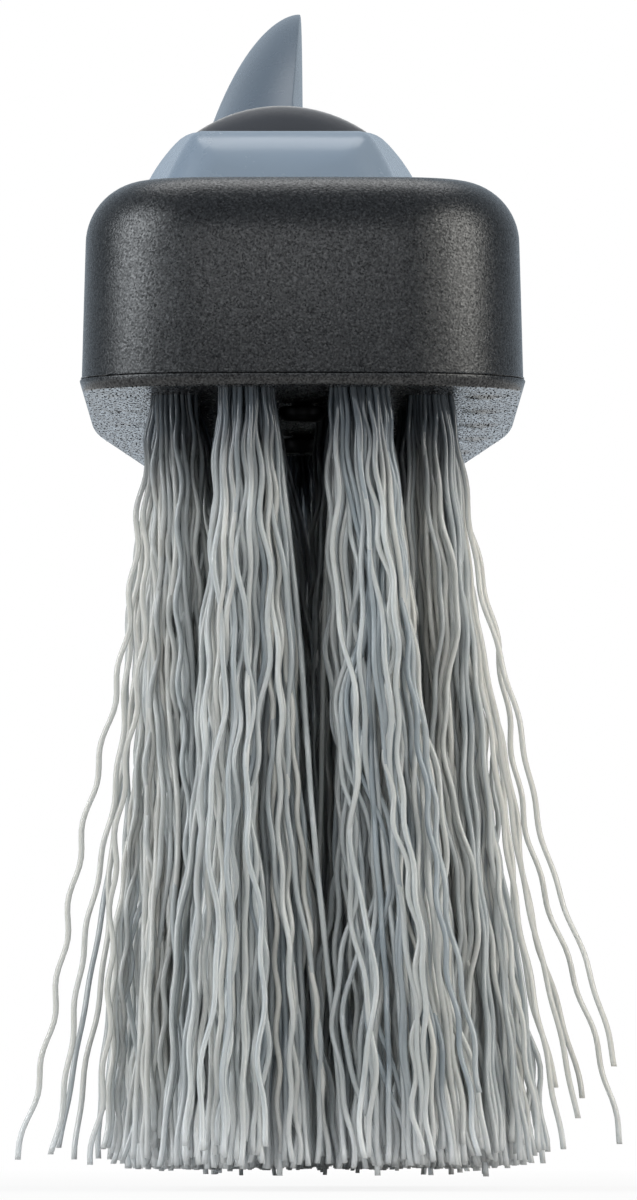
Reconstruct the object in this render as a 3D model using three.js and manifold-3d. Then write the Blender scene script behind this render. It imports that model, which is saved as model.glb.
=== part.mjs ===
// Snow brush with ice scraper: a black brush block with four columns of tufts, a neck,
// a tube with a soft grip, and a wide scraper blade at the far end.
// Millimetres, +Z up. The toe of the brush points to -Y and the scraper to +Y.
// The origin is the middle of the flat back of the block, above the tuft field.

import * as THREE from "three";
import { mergeVertices } from "three/addons/utils/BufferGeometryUtils.js";
import Module from "manifold-3d";

const wasm = await Module();
wasm.setup();

// Fits
const gap = 0.3; // between two pieces that touch
const lipStep = 0.2; // how far the base plate stands proud of the cover

// Brush block
const blockWidth = 43;
const blockHeight = 20.4;
const blockStraight = 97; // from the toe to the start of the taper
const taperBlend = 12; // half the run over which the sides bend into the taper
const tailY = 190; // rear face of the tail
const tailWidth = 32;
const toeRadius = 6.5; // corners of the toe, seen from above
const tailRadius = 1.5;
const backRadius = 6; // rounded edge of the back
const toeRounding = 0.7; // share of that rounding over the toe
const tailRounding = 0.1; // and over the tail, which meets the neck
const sideDraft = 0.35;
const coverWall = 2;
const plateThickness = 1.2;
const tongueWidth = 16;
const tongueBottom = 8;
const tongueTop = 19;
const tongueLength = 30;
const coverRibY = [0.1, 0.32, 0.63, 0.76].map((share) => share * tailY);

// Ribs under the margins of the base plate
const marginRibPitch = 28;
const marginRibCount = 5;
const marginRibFirst = 23;
const marginRibHeight = 0.5;
const marginRibWidth = 9;

// Tufts
const innerColumn = blockWidth / 8;
const outerColumn = 2.3 * innerColumn;
const rowPitch = 9.4;
const firstRow = toeRadius;
const innerRows = 15;
const outerRows = 14;
const outerSetback = 1.5 * rowPitch; // the outer columns start behind the inner ones
const endTuftY = firstRow + (innerRows - 0.1) * rowPitch; // closes the aisle at the tail
const tuftHoleRadius = 2.85;
const tuftRadius = 1.75;
const strandsPerTuft = 6;
const strandRadius = 0.62;
const bristleLength = 75;
const innerSpread = 0.22; // growth of the column spacing at the tips
const outerSpread = 0.34;
const tipDrift = 2; // the tips have set a little to the right
const rowSpread = 0.06;
const tuftSpread = 1.5;
const barHalfWidth = 2.6;
const barHeight = 8.5;

// Handle
const axisX = -2.4; // the handle sits a little to the left of the block
const axisZ = 29.4;
const gripRadius = 17.4;
const neckStart = tailY + gap;
const neckLength = 84.7;
const neckEnd = neckStart + neckLength;
const neckMiddle = 16; // height of the widest level at the front of the neck
const neckHalf = 15.5; // half width there
const neckAbove = 28.3; // and the reach of the section above and below it
const neckBelow = 14.4;
const neckSquareness = 2.6; // of the lower half of its section
const flatFront = 37.7; // height of the flat on top, at the front of the neck
const flatSlope = Math.tan(THREE.MathUtils.degToRad(3.9));
const noseRadius = 4.6;
const noseLean = Math.tan(THREE.MathUtils.degToRad(20));
const tubeRadius = 9.5;
const tubeWall = 1.5;
const tubeInNeck = 32;
const tubeStart = neckEnd - tubeInNeck;
const gripLength = 130;
const gripGrooves = 9;
const gripGrooveDepth = 0.9;
const gripGrooveHalf = 2; // half width of a groove
const gripMargin = 12; // plain stretch at each end of the sleeve
const gripRounding = 4.5; // of the front edge of the sleeve

// Scraper
const headStart = neckEnd + gripLength + 2 * gap;
const headLength = 56;
const headLipTall = 42.2; // half height where the blade comes out
const headLipLeft = 15.3; // reach of the bulging left side there
const headLipRight = 0.6; // and of the flat right side
const headShift = 1.9; // sideways run of the middle of the section
const headFlatness = 0.4; // of the right side, where 1 is round
const headPoint = 1.15; // of the left side, which narrows a little to its ends
const headFlatStart = 0.27; // share of the length where the right side leaves the round
const headFlatRun = 0.22; // and over which it becomes flat
const tubeInHead = 15;
const bladeInset = 34; // from the front of the head to the hidden end of the blade
const bladeReach = 60; // from that end to the scraping edge
const bladeRootHalf = 26;
const bladeEdgeHalf = 41.5;
const bladeThickness = 3;
const bladeEdge = 0.8;
const bladeBevel = 9;
const bladeCorner = 3; // radius of the corners of the edge
const bladeOffset = -0.8;
const bladeLean = 0.01; // sideways run for each millimetre of reach
const bladeRibs = 9;
const bladeRibPitch = 9;
const bladeRibLength = 17;

// Fasteners
const screwShank = 1.1;
const screwHead = 2.3;
const screwHeadHeight = 1.5;
const screwLength = 9;
const plateScrewY = [0.185, 0.525, 0.87].map((share) => share * tailY);
const neckScrewFirst = 10; // from the front of the neck
const neckScrewPitch = 12;
const neckScrewY = [0, 1].map((i) => neckStart + neckScrewFirst + i * neckScrewPitch);
const neckScrewDepth = 2.2; // counterbore under the neck
const pinRadius = 2;
const neckPinInset = 16; // from the rear end of the neck
const neckPinY = neckEnd - neckPinInset;
const headPinInset = 10; // from the front of the head
const headPinY = headStart + headPinInset;
const rivetRadius = 2;
const rivetHead = 3.8;
const rivetHeadHeight = 1.3;
const rivetLeftSeat = -5; // from the axis
const rivetZ = [-23, 0, 23];
const rivetInset = 9; // from the rear end of the head
const rivetY = headStart + headLength - rivetInset;

const blackPlastic = { color: 0x2b2c2e, roughness: 0.55, metalness: 0 };
const greyPlastic = { color: 0x8c9bac, roughness: 0.3, metalness: 0 };
const softRubber = { color: 0x33363f, roughness: 0.8, metalness: 0 };
const filament = { color: 0xa5acaf, roughness: 0.45, metalness: 0 };
const alloy = { color: 0xb4b8bd, roughness: 0.35, metalness: 1 };
const steel = { color: 0xb9bcc0, roughness: 0.3, metalness: 1 };
const blackSteel = { color: 0x27282a, roughness: 0.45, metalness: 0.5 };

const fieldMiddle = firstRow + ((innerRows - 1) * rowPitch) / 2;

const part = new THREE.Group();
part.name = "snow_brush";
part.position.set(0, -fieldMiddle, -blockHeight);

// Shared helpers

function point(x, y, z) {
  return new THREE.Vector3(x, y, z);
}

function signedVolume(positions, index) {
  const a = new THREE.Vector3();
  const b = new THREE.Vector3();
  const c = new THREE.Vector3();
  let volume = 0;
  for (let i = 0; i < index.length; i += 3) {
    a.fromArray(positions, 3 * index[i]);
    b.fromArray(positions, 3 * index[i + 1]);
    c.fromArray(positions, 3 * index[i + 2]);
    volume += a.dot(b.cross(c)) / 6;
  }
  return volume;
}

// Turns a closed geometry into a solid, facing outwards.
function solid(geometry) {
  const bare = new THREE.BufferGeometry();
  bare.setAttribute("position", geometry.getAttribute("position").clone());
  bare.setIndex(geometry.index ? geometry.index.clone() : null);
  const merged = mergeVertices(bare, 1e-4);
  const positions = new Float32Array(merged.getAttribute("position").array);
  const corners = [];
  for (let i = 0; i < merged.index.count; i += 3) {
    const [a, b, c] = [0, 1, 2].map((k) => merged.index.getX(i + k));
    if (a !== b && b !== c && a !== c) corners.push(a, b, c);
  }
  if (signedVolume(positions, corners) < 0) corners.reverse();
  const triVerts = new Uint32Array(corners);
  return new wasm.Manifold(new wasm.Mesh({ numProp: 3, vertProperties: positions, triVerts }));
}

function place(name, body, look) {
  const faces = body.getMesh();
  const geometry = new THREE.BufferGeometry();
  geometry.setAttribute("position", new THREE.BufferAttribute(faces.vertProperties, 3));
  geometry.setIndex(new THREE.BufferAttribute(faces.triVerts, 1));
  geometry.computeVertexNormals();
  const mesh = new THREE.Mesh(geometry, new THREE.MeshStandardMaterial(look));
  mesh.name = name;
  part.add(mesh);
}

function middleOf(ring) {
  const sum = ring.reduce((total, p) => total.add(p), point(0, 0, 0));
  return sum.multiplyScalar(1 / ring.length);
}

// Skins a row of closed rings that all have the same number of points. The ends are
// closed by one face on rings of three points, else by fans about a middle point.
function loft(rings, firstMiddle = middleOf(rings[0])) {
  const count = rings[0].length;
  const ends = [firstMiddle, middleOf(rings[rings.length - 1])];
  const positions = [...rings, ends].flatMap((ring) => ring.flatMap((p) => p.toArray()));
  const index = [];
  for (let r = 0; r + 1 < rings.length; r++) {
    for (let i = 0; i < count; i++) {
      const a = r * count + i;
      const b = r * count + ((i + 1) % count);
      index.push(a, b, b + count, a, b + count, a + count);
    }
  }
  const last = (rings.length - 1) * count;
  const firstEnd = rings.length * count;
  if (count === 3) {
    index.push(0, 2, 1, last, last + 1, last + 2);
  } else {
    for (let i = 0; i < count; i++) {
      const next = (i + 1) % count;
      index.push(firstEnd, next, i);
      index.push(firstEnd + 1, last + i, last + next);
    }
  }
  const geometry = new THREE.BufferGeometry();
  geometry.setAttribute("position", new THREE.Float32BufferAttribute(positions, 3));
  geometry.setIndex(index);
  return solid(geometry);
}

function box(low, high) {
  const size = high.clone().sub(low);
  const middle = low.clone().add(high).multiplyScalar(0.5);
  const geometry = new THREE.BoxGeometry(size.x, size.y, size.z);
  return solid(geometry.translate(middle.x, middle.y, middle.z));
}

function rod(radius, start, end, sides = 16) {
  const along = end.clone().sub(start);
  const geometry = new THREE.CylinderGeometry(radius, radius, along.length(), sides);
  const turn = new THREE.Quaternion();
  turn.setFromUnitVectors(point(0, 1, 0), along.clone().normalize());
  geometry.applyQuaternion(turn);
  const middle = start.clone().add(end).multiplyScalar(0.5);
  return solid(geometry.translate(middle.x, middle.y, middle.z));
}

// Turns a closed profile of [radius, height] pairs about the Y axis.
function turned(profile, sides) {
  const outline = profile.concat([profile[0]]);
  return new THREE.LatheGeometry(
    outline.map(([radius, height]) => new THREE.Vector2(radius, height)),
    sides,
  );
}

// Brush block

function blockHalfWidth(y) {
  const slope = (blockWidth - tailWidth) / 2 / (tailY - blockStraight);
  const past = y - blockStraight;
  if (past <= -taperBlend) return blockWidth / 2;
  if (past >= taperBlend) return blockWidth / 2 - slope * past;
  return blockWidth / 2 - (slope * (past + taperBlend) ** 2) / (4 * taperBlend);
}

// Outline of the block seen from above, drawn in by the same distance all round.
function blockOutline(inset, toeInset = inset, tailInset = inset) {
  const toeSteps = 6;
  const tailSteps = 3;
  const right = [];
  const front = Math.max(toeRadius - inset, 0.5);
  const rear = Math.max(tailRadius - inset, 0.5);
  const half = blockWidth / 2 - inset;
  for (let i = 0; i <= toeSteps; i++) {
    const angle = (Math.PI / 2) * (i / toeSteps - 1);
    right.push([half - front + front * Math.cos(angle), toeInset + front + front * Math.sin(angle)]);
  }
  for (const share of [-1, -0.5, 0, 0.5, 1]) {
    const y = blockStraight + share * taperBlend;
    right.push([blockHalfWidth(y) - inset, y]);
  }
  const end = tailY - tailInset;
  const cornerX = blockHalfWidth(end - rear) - inset - rear;
  for (let i = 0; i <= tailSteps; i++) {
    const angle = (Math.PI / 2) * (i / tailSteps);
    right.push([cornerX + rear * Math.cos(angle), end - rear + rear * Math.sin(angle)]);
  }
  const left = right.map(([x, y]) => [-x, y]).reverse();
  return right.concat(left);
}

function blockRing(z, ...insets) {
  return blockOutline(...insets).map(([x, y]) => point(x, y, z));
}

function shell(extraInset, bottom, top) {
  const rings = [blockRing(bottom, lipStep + extraInset)];
  const shoulder = lipStep + sideDraft + extraInset;
  const radius = backRadius - extraInset;
  const steps = 5;
  for (let i = 0; i <= steps; i++) {
    const angle = (Math.PI / 2) * (i / steps);
    const inset = radius * (1 - Math.cos(angle));
    const z = top - radius + radius * Math.sin(angle);
    const toe = shoulder + toeRounding * inset;
    const tail = shoulder + tailRounding * inset;
    rings.push(blockRing(z, shoulder + inset, toe, tail));
  }
  return loft(rings);
}

function blockCover() {
  const bottom = plateThickness + gap;
  const roof = blockHeight - coverWall;
  const ribBottom = bottom + barHeight + gap;
  let cover = shell(0, bottom, blockHeight).subtract(shell(coverWall, bottom - 1, roof));
  for (const y of coverRibY) {
    const half = blockHalfWidth(y) - backRadius / 2;
    cover = cover.add(box(point(-half, y - 0.8, ribBottom), point(half, y + 0.8, roof + 0.5)));
  }
  for (const y of plateScrewY) {
    const bossRadius = innerColumn - barHalfWidth - gap;
    cover = cover.add(rod(bossRadius, point(0, y, bottom), point(0, y, roof + 0.5)));
  }
  cover = cover.add(
    box(
      point(-tongueWidth / 2, tailY - coverWall - 0.2, tongueBottom),
      point(tongueWidth / 2, tailY + tongueLength, tongueTop),
    ),
  );
  for (const y of plateScrewY) {
    cover = cover.subtract(rod(screwShank + gap, point(0, y, 0), point(0, y, screwLength + gap), 12));
  }
  for (const y of neckScrewY) {
    const pilotTop = neckScrewSeat(y) + screwLength + gap;
    cover = cover.subtract(rod(screwShank + gap, point(0, y, 0), point(0, y, pilotTop), 12));
  }
  return cover;
}

function basePlate(tufts) {
  let plate = loft([blockRing(0, 0), blockRing(plateThickness, 0)]);
  const rimOuter = lipStep + coverWall + gap;
  const rimTop = plateThickness + 4;
  const rimInner = rimOuter + 1.1;
  let rim = loft([blockRing(plateThickness / 2, rimOuter), blockRing(rimTop, rimOuter)]);
  rim = rim.subtract(loft([blockRing(0, rimInner), blockRing(rimTop + 1, rimInner)]));
  rim = rim.subtract(box(point(-blockWidth, blockStraight, 0), point(blockWidth, tailY, rimTop + 1)));
  plate = plate.add(rim);
  for (let i = 0; i < marginRibCount; i++) {
    const y = marginRibFirst + i * marginRibPitch;
    for (const side of [-1, 1]) plate = plate.add(marginRib(y, side));
  }
  for (const tuft of tufts) {
    const hole = rod(tuftHoleRadius, point(tuft.x, tuft.y, -2), point(tuft.x, tuft.y, 3), 8);
    plate = plate.subtract(hole);
  }
  for (const y of plateScrewY) {
    plate = plate.subtract(rod(screwShank + gap, point(0, y, -2), point(0, y, 3), 12));
  }
  return plate;
}

// A low rounded ridge across one margin of the plate.
function marginRib(y, side) {
  const inner = outerColumn + tuftHoleRadius + 0.6;
  const outer = blockHalfWidth(y) - 0.4;
  const steps = 6;
  const section = [];
  for (let i = 0; i <= steps; i++) {
    const t = i / steps;
    const height = marginRibHeight * Math.sin(Math.PI * t);
    section.push([y + marginRibWidth * (t - 0.5), -height]);
  }
  section.push([y + marginRibWidth / 2, plateThickness / 2]);
  section.push([y - marginRibWidth / 2, plateThickness / 2]);
  const rings = [inner, outer].map((x) => section.map(([sy, sz]) => point(side * x, sy, sz)));
  return loft(rings);
}

// Bristles

function tuftColumn(x) {
  const outer = Math.abs(x) === outerColumn;
  const start = firstRow + (outer ? outerSetback : 0);
  const rows = outer ? outerRows : innerRows;
  const spread = outer ? outerSpread : innerSpread;
  return Array.from({ length: rows }, (_, i) => ({ x, y: start + i * rowPitch, spread }));
}

// One strand stands for a bundle of filaments. All strands follow one spreading
// field, so that no two of them cross.
function strand(tuft, offsetX, offsetY, turn) {
  const embedded = plateThickness + gap + 2;
  const rings = [embedded, 0, -0.45 * bristleLength, -bristleLength].map((z) => {
    const bend = Math.max(0, -z / bristleLength) ** 1.5;
    const fan = 1 + tuftSpread * bend;
    const x = tuft.x * (1 + tuft.spread * bend) + tipDrift * bend + offsetX * fan;
    const y = tuft.y + (tuft.y - fieldMiddle) * rowSpread * bend + offsetY * fan;
    return [0, 1, 2].map((k) => {
      const angle = turn + (2 * Math.PI * k) / 3;
      return point(x + strandRadius * Math.cos(angle), y + strandRadius * Math.sin(angle), z);
    });
  });
  return loft(rings);
}

// Slice of the backing that carries the tufts from one corner to the other.
function backing(first, last) {
  const bottom = plateThickness + gap;
  const reach = tuftRadius + strandRadius + 0.2;
  return box(
    point(Math.min(first.x, last.x) - barHalfWidth, first.y - reach, bottom),
    point(Math.max(first.x, last.x) + barHalfWidth, last.y + reach, bottom + barHeight),
  );
}

// A column of tufts, whose last one may stand aside.
function bristleRow(tufts) {
  const last = tufts[tufts.length - 1];
  const corner = { x: tufts[0].x, y: last.y };
  let row = backing(tufts[0], corner).add(backing(last, corner));
  tufts.forEach((tuft, number) => {
    row = row.add(strand(tuft, 0, 0, number));
    for (let k = 0; k + 1 < strandsPerTuft; k++) {
      const angle = 0.7 * number + (2 * Math.PI * k) / (strandsPerTuft - 1);
      const x = tuftRadius * Math.cos(angle);
      const y = tuftRadius * Math.sin(angle);
      row = row.add(strand(tuft, x, y, angle));
    }
  });
  return row;
}

// Neck and handle

function signedPower(value, power) {
  return Math.sign(value) * Math.abs(value) ** power;
}

function smooth(t) {
  const held = Math.min(Math.max(t, 0), 1);
  return held * held * (3 - 2 * held);
}

// Section of the neck: tall and round above with a flat on top, squarer below. It
// grows into the round of the grip. The part above the back of the block is drawn in
// and leans back to form the nose.
function neckRing(y, drawnIn, lean) {
  const sides = 28;
  const size = neckSize(y);
  const start = flatFront + (y - neckStart - lean * blockHeight) * flatSlope;
  const flat = start / (1 - lean * flatSlope);
  const ring = [];
  for (let i = 0; i < sides; i++) {
    const angle = (2 * Math.PI * i) / sides;
    const c = Math.cos(angle);
    const s = Math.sin(angle);
    const power = s > 0 ? 1 : 2 / neckSquareness;
    const reach = s > 0 ? size.above : size.below;
    const fullZ = size.middle + reach * signedPower(s, power);
    const drawn = drawnIn * smooth((fullZ - blockHeight + 4) / 14);
    const x = axisX + (size.half - drawn) * signedPower(c, power);
    const z = Math.min(fullZ, flat) - drawn * Math.max(s, 0);
    ring.push(point(x, y + lean * Math.max(z - blockHeight, 0), z));
  }
  return ring;
}

function neckSize(y) {
  const t = (y - neckStart) / (neckEnd - neckStart);
  const grown = smooth(t);
  return {
    half: neckHalf + (gripRadius - neckHalf) * t,
    middle: neckMiddle + (axisZ - neckMiddle) * grown,
    above: neckAbove + (gripRadius - neckAbove) * grown,
    below: neckBelow + (gripRadius - neckBelow) * grown,
  };
}

// Height on which the head of a neck screw rests.
function neckScrewSeat(y) {
  const size = neckSize(y);
  return size.middle - size.below + neckScrewDepth;
}

function neck() {
  const rings = [];
  const noseSteps = 5;
  for (let i = 0; i <= noseSteps; i++) {
    const angle = (Math.PI / 2) * (i / noseSteps);
    const y = neckStart + noseRadius * (1 - Math.cos(angle));
    rings.push(neckRing(y, noseRadius * (1 - Math.sin(angle)), noseLean));
  }
  const noseEnd = neckStart + noseRadius;
  const steps = 6;
  for (let i = 1; i <= steps; i++) {
    const t = i / steps;
    rings.push(neckRing(noseEnd + (neckEnd - noseEnd) * t, 0, noseLean * (1 - t)));
  }
  let body = loft(rings, point(axisX, neckStart, blockHeight));
  body = body.subtract(
    box(
      point(-tongueWidth / 2 - gap, neckStart - 1, tongueBottom - gap),
      point(tongueWidth / 2 + gap, tailY + tongueLength + gap, tongueTop + gap),
    ),
  );
  body = body.subtract(
    rod(tubeRadius + gap, point(axisX, tubeStart - gap, axisZ), point(axisX, neckEnd + 1, axisZ), 32),
  );
  for (const y of neckScrewY) {
    const seat = neckScrewSeat(y);
    body = body.subtract(rod(screwShank + gap, point(0, y, seat - 1), point(0, y, tongueTop), 12));
    body = body.subtract(rod(screwHead + gap, point(0, y, seat - 6), point(0, y, seat), 16));
  }
  return body.subtract(crossHole(neckPinY));
}

function crossHole(y) {
  const reach = 2 * gripRadius;
  return rod(pinRadius + gap, point(axisX - reach, y, axisZ), point(axisX + reach, y, axisZ), 12);
}

function crossPin(y, length) {
  return rod(pinRadius, point(axisX - length / 2, y, axisZ), point(axisX + length / 2, y, axisZ), 12);
}

function handleTube() {
  const inner = tubeRadius - tubeWall;
  const end = headStart + tubeInHead;
  const profile = [
    [inner, tubeStart],
    [tubeRadius, tubeStart],
    [tubeRadius, end],
    [inner, end],
  ];
  const tube = solid(turned(profile, 32).translate(axisX, 0, axisZ));
  return tube.subtract(crossHole(neckPinY)).subtract(crossHole(headPinY));
}

// Soft sleeve with shallow rounded grooves.
function grip() {
  const start = neckEnd + gap;
  const end = start + gripLength;
  const inner = tubeRadius + gap;
  const pitch = (gripLength - 2 * gripMargin) / gripGrooves;
  const profile = [
    [inner, start],
    [gripRadius - gripRounding, start],
    [gripRadius - 0.3 * gripRounding, start + 0.3 * gripRounding],
    [gripRadius, start + gripRounding],
  ];
  for (let i = 0; i < gripGrooves; i++) {
    const y = start + gripMargin + pitch * (i + 0.5);
    profile.push([gripRadius, y - gripGrooveHalf]);
    profile.push([gripRadius - gripGrooveDepth, y]);
    profile.push([gripRadius, y + gripGrooveHalf]);
  }
  profile.push([gripRadius, end - 1], [gripRadius - 1, end], [inner, end]);
  return solid(turned(profile, 20).translate(axisX, 0, axisZ));
}

// Scraper

// Section of the head: round at the grip, then ever taller. The left side stays
// bulged and the right side goes flat.
function headRing(t) {
  const sides = 28;
  const grown = smooth(t);
  const flattened = smooth((t - headFlatStart) / headFlatRun);
  const middle = axisX + headShift * grown;
  const tall = gripRadius + (headLipTall - gripRadius) * grown;
  const left = gripRadius + (headLipLeft - gripRadius) * grown;
  const right = gripRadius + (headLipRight - gripRadius) * flattened;
  const rightPower = 1 + (headFlatness - 1) * flattened;
  const leftPower = 1 + (headPoint - 1) * grown;
  const ring = [];
  for (let i = 0; i < sides; i++) {
    const angle = (2 * Math.PI * i) / sides;
    const c = Math.cos(angle);
    const x = c > 0 ? right * c ** rightPower : left * signedPower(c, leftPower);
    ring.push(point(middle + x, headStart + headLength * t, axisZ + tall * Math.sin(angle)));
  }
  return ring;
}

function scraperHead() {
  const steps = 9;
  const rings = Array.from({ length: steps + 1 }, (_, i) => headRing(i / steps));
  let head = loft(rings);
  head = head.subtract(
    rod(
      tubeRadius + gap,
      point(axisX, headStart - 1, axisZ),
      point(axisX, headStart + tubeInHead + gap, axisZ),
      32,
    ),
  );
  head = head.subtract(bladeBody(gap)).subtract(crossHole(headPinY));
  for (const z of rivetZ) {
    const hole = axisZ + z;
    head = head.subtract(
      rod(rivetRadius + gap, point(axisX - 20, rivetY, hole), point(axisX + 20, rivetY, hole), 12),
    );
    for (const side of [-1, 1]) {
      const seat = rivetMiddle() + side * rivetReach();
      head = head.subtract(
        rod(rivetHead + gap, point(seat, rivetY, hole), point(seat + side * 20, rivetY, hole), 20),
      );
    }
  }
  return head;
}

function bladeHalf(t) {
  return bladeRootHalf + (bladeEdgeHalf - bladeRootHalf) * (1 - (1 - t) ** 2.1);
}

// The blade, grown by the given clearance. The same body cuts its slot in the head.
function bladeBody(clearance) {
  const rings = [];
  const steps = 9;
  const stations = Array.from({ length: steps + 1 }, (_, i) => ((bladeReach - bladeBevel) * i) / steps);
  stations.push(bladeReach - bladeCorner, bladeReach - bladeCorner / 3, bladeReach);
  for (const reach of stations) {
    const left = bladeReach - reach;
    const inCorner = Math.max(bladeCorner - left, 0);
    const corner = bladeCorner - Math.sqrt(bladeCorner ** 2 - inCorner ** 2);
    const half = bladeHalf(reach / bladeReach) - corner + clearance;
    const bevel = Math.min(left / bladeBevel, 1);
    const thick = bladeEdge + (bladeThickness - bladeEdge) * bevel + 2 * clearance;
    const x = axisX + bladeOffset + bladeLean * reach;
    const right = x + bladeThickness / 2 + clearance;
    const y = headStart + bladeInset + reach - (reach === 0 ? clearance : 0);
    const soft = Math.min(0.8, thick / 3);
    rings.push([
      point(right, y, axisZ - half + soft),
      point(right, y, axisZ + half - soft),
      point(right - soft, y, axisZ + half),
      point(right - thick + soft, y, axisZ + half),
      point(right - thick, y, axisZ + half - soft),
      point(right - thick, y, axisZ - half + soft),
      point(right - thick + soft, y, axisZ - half),
      point(right - soft, y, axisZ - half),
    ]);
  }
  return loft(rings);
}

// Ice breaking ribs on the left face, short of the bevel.
function scraperBlade() {
  let blade = bladeBody(0);
  const end = bladeReach - bladeBevel;
  for (let i = 0; i < bladeRibs; i++) {
    const z = axisZ + (i - (bladeRibs - 1) / 2) * bladeRibPitch;
    const rings = [end - bladeRibLength, end - bladeRibLength + 5, end].map((reach, k) => {
      const y = headStart + bladeInset + reach;
      const face = axisX + bladeOffset + bladeLean * reach - bladeThickness / 2;
      const tall = k === 0 ? 0.1 : 1.2;
      return [
        point(face + 0.6, y, z - 1.4),
        point(face + 0.6, y, z + 1.4),
        point(face - tall, y, z),
      ];
    });
    blade = blade.add(loft(rings));
  }
  for (const z of rivetZ) {
    const hole = axisZ + z;
    blade = blade.subtract(
      rod(rivetRadius + gap, point(axisX - 20, rivetY, hole), point(axisX + 20, rivetY, hole), 12),
    );
  }
  return blade;
}

// Fasteners

// Pan head screw that points up, with its head resting just under the given height.
function screw(x, y, seat) {
  const profile = [
    [0, screwLength],
    [screwShank * 0.4, screwLength - 0.6],
    [screwShank, screwLength - 2.2],
    [screwShank, 0],
    [screwHead, 0],
    [screwHead, -screwHeadHeight * 0.5],
    [screwHead * 0.7, -screwHeadHeight],
    [0, -screwHeadHeight],
  ];
  const geometry = turned(profile, 10).rotateX(Math.PI / 2);
  let body = solid(geometry.translate(x, y, seat));
  const low = seat - screwHeadHeight - 1;
  const deep = seat - screwHeadHeight + 0.9;
  body = body.subtract(box(point(x - 1.4, y - 0.3, low), point(x + 1.4, y + 0.3, deep)));
  return body.subtract(box(point(x - 0.3, y - 1.4, low), point(x + 0.3, y + 1.4, deep)));
}

// The right heads of the rivets rest on the flat side, the left ones in deep seats.
function rivetMiddle() {
  return axisX + (headShift + headLipRight + rivetLeftSeat) / 2;
}

function rivetReach() {
  return (headShift + headLipRight - rivetLeftSeat) / 2;
}

function rivet(z) {
  const seat = rivetReach() + gap;
  const head = seat + rivetHeadHeight;
  const profile = [
    [0, -head],
    [rivetHead * 0.6, -head + 0.25],
    [rivetHead, -seat - 0.25],
    [rivetHead, -seat],
    [rivetRadius, -seat],
    [rivetRadius, seat],
    [rivetHead, seat],
    [rivetHead, seat + 0.25],
    [rivetHead * 0.6, head - 0.25],
    [0, head],
  ];
  const geometry = turned(profile, 12).rotateZ(-Math.PI / 2);
  return solid(geometry.translate(rivetMiddle(), rivetY, axisZ + z));
}

const columns = [-outerColumn, -innerColumn, innerColumn, outerColumn].map(tuftColumn);
columns[2].push({ x: 0, y: endTuftY, spread: innerSpread });

place("block_cover", blockCover(), blackPlastic);
place("base_plate", basePlate(columns.flat()), blackPlastic);
columns.forEach((column, i) => place(`bristle_row_${i + 1}`, bristleRow(column), filament));
plateScrewY.forEach((y, i) => place(`plate_screw_${i + 1}`, screw(0, y, -gap), blackSteel));
place("neck", neck(), greyPlastic);
neckScrewY.forEach((y, i) => {
  place(`neck_screw_${i + 1}`, screw(0, y, neckScrewSeat(y) - gap), steel);
});
place("neck_pin", crossPin(neckPinY, 2 * gripRadius - 2), steel);
place("handle_tube", handleTube(), alloy);
place("grip", grip(), softRubber);
place("scraper_head", scraperHead(), greyPlastic);
place("head_pin", crossPin(headPinY, 2 * gripRadius - 2), steel);
place("scraper_blade", scraperBlade(), greyPlastic);
rivetZ.forEach((z, i) => place(`blade_rivet_${i + 1}`, rivet(z), steel));

export default part;
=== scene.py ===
"""Looks for the snow brush with ice scraper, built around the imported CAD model.

Shapes are worked out in millimetres from the toe of the brush and the underside
of its block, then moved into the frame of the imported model, in metres.
"""

import math

import bmesh
import bpy
import numpy as np
from mathutils import Matrix, Vector


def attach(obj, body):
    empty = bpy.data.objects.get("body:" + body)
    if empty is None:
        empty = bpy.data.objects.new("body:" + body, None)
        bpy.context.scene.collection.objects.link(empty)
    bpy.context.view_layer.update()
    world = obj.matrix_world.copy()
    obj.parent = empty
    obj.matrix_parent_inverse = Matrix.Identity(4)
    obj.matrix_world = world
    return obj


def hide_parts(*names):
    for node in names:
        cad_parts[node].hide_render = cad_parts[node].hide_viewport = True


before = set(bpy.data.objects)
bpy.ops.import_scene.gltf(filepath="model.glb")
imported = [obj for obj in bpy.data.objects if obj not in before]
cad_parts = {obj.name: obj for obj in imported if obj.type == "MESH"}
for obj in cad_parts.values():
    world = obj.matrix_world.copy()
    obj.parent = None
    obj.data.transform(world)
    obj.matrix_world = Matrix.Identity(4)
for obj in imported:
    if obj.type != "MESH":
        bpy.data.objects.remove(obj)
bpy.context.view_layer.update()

# Block, as in the CAD model apart from the toe's shape, the height of the ribs and the flash
BLOCK_WIDTH = 43.0
BLOCK_HEIGHT = 20.4
BLOCK_STRAIGHT = 97.0
TAIL_Y = 190.0
TAIL_WIDTH = 32.0
TAPER_BLEND = 12.0  # half the length over which the sides turn from straight to tapered
TOE_RADIUS = 6.5
TOE_CORNER = 13.0  # seen from above, as the light bands of the photograph show it
TOE_CROWN = 100.0  # radius of the slightly crowned front, seen from above
TOE_LEAN = 1.2  # how far the front leans back under its rounded edge
TAIL_RADIUS = 1.5
BACK_RADIUS = 6.0
TOE_ROUNDING = 0.7
TAIL_ROUNDING = 0.1
SIDE_DRAFT = 0.35
LIP_STEP = 0.2
PLATE_THICKNESS = 1.2
GAP = 0.3
RIB_PITCH = 28.0
RIB_FIRST = 23.0
RIB_COUNT = 5
RIB_HEIGHT = {-1: 0.1, 1: 0.28}  # lower on the left
RIB_WIDTH = 9.0
FLASH_SIZE = 0.07  # usual size of the bead of moulding flash

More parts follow.
